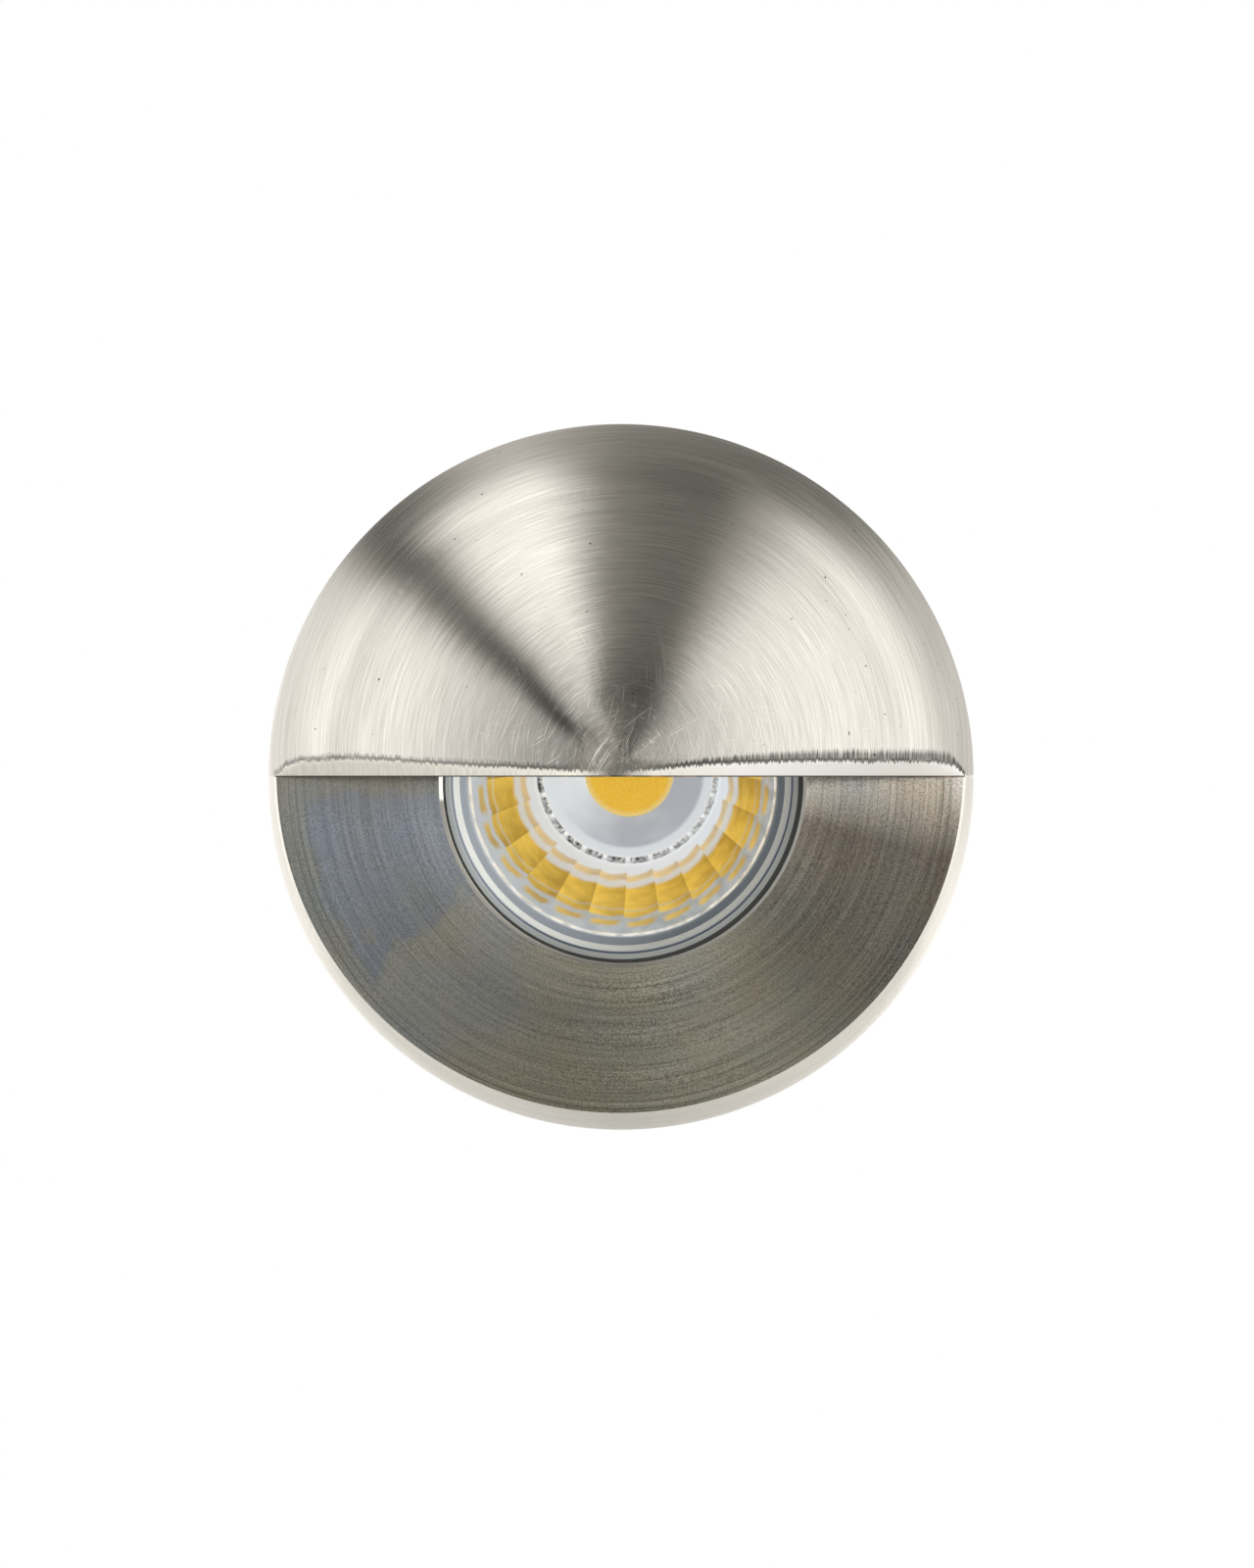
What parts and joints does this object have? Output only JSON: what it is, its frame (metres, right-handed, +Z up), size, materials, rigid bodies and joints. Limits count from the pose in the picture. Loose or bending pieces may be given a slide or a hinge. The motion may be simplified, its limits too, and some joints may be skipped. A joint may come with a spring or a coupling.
{
  "type": "recessed step light",
  "caption": "Round recessed wall step light with a brushed stainless face, a hood over its upper half and a glazed LED spot lamp, in a wall sleeve.",
  "frame": {"origin": "on the light's axis, in the wall plane on which the sleeve's flange seats", "axes": "+Y into the wall along the light's axis, +Z up, +X to the right as seen from the front"},
  "size_m": [0.095, 0.126, 0.0949],
  "materials": {
    "brushed_stainless": "circular brushed, satin",
    "toughened_glass": "polished clear",
    "clear_optic": "polished, faceted",
    "lamp_rim": "satin",
    "white_reflector": "smooth satin",
    "phosphor": "matt",
    "lamp_aluminium": "die cast, satin",
    "body_aluminium": "turned and anodised",
    "circuit_board": "solder resist",
    "lamp_foot_plastic": "moulded",
    "ceramic": "unglazed steatite",
    "brass": "plain",
    "stainless_screws": "plain",
    "zinc_plate": "zinc plated",
    "lead_sleeve": "silicone insulation",
    "terminal_plastic": "moulded",
    "black_rubber": "matt",
    "silicone": "translucent, matt",
    "gland_plastic": "moulded",
    "sleeve_plastic": "moulded, fine texture"
  },
  "bodies": {
    "sleeve": {"mounting_sleeve": "sleeve_plastic"},
    "light_body": {"body_tube": "body_aluminium", "body_rings": "black_rubber", "thread_seal": "silicone", "rear_gasket": "silicone", "lamp_ring": "lamp_rim", "lamp_bezel": "lamp_rim", "lamp_lens": "clear_optic", "led_cup": "white_reflector", "led_chip": "phosphor", "led_board": "circuit_board", "lamp_housing": "lamp_aluminium", "lamp_base": "lamp_foot_plastic", "driver_board": "circuit_board", "lamp_pins": "stainless_screws", "lamp_holder": "ceramic", "holder_contacts": "brass", "holder_leads": "lead_sleeve", "holder_bracket": "zinc_plate", "holder_screws": "stainless_screws", "bracket_screws": "stainless_screws", "terminal_block": "terminal_plastic", "terminal_barrels": "brass", "terminal_screws": "stainless_screws", "block_screw": "stainless_screws", "rear_cap": "body_aluminium", "cap_ring": "black_rubber", "cap_screws": "stainless_screws", "gland_washer": "black_rubber", "gland_lock_nut": "gland_plastic", "gland_body": "gland_plastic", "gland_seal": "black_rubber", "gland_nut": "gland_plastic"},
    "glass": {"front_glass": "toughened_glass", "front_gasket": "silicone"},
    "face": {"eyelid_face": "brushed_stainless", "wall_gasket": "black_rubber"}
  },
  "joints": [
    {"name": "light_turn", "type": "hinge", "parent": "sleeve", "child": "light_body", "pos_m": [0, 0, 0], "axis": [0, 1, 0], "continuous": true},
    {"name": "glass_lift", "type": "slide", "parent": "light_body", "child": "glass", "axis": [0, -1, 0], "range_m": [0, 0.0109]},
    {"name": "face_unscrew", "type": "hinge", "parent": "glass", "child": "face", "pos_m": [0, 0, 0], "axis": [0, -1, 0], "range_deg": [0, 2610]}
  ],
  "couplings": [
    {"joint": "glass_lift", "follows": "face_unscrew", "m_per_rad": 0.00023873}
  ]
}
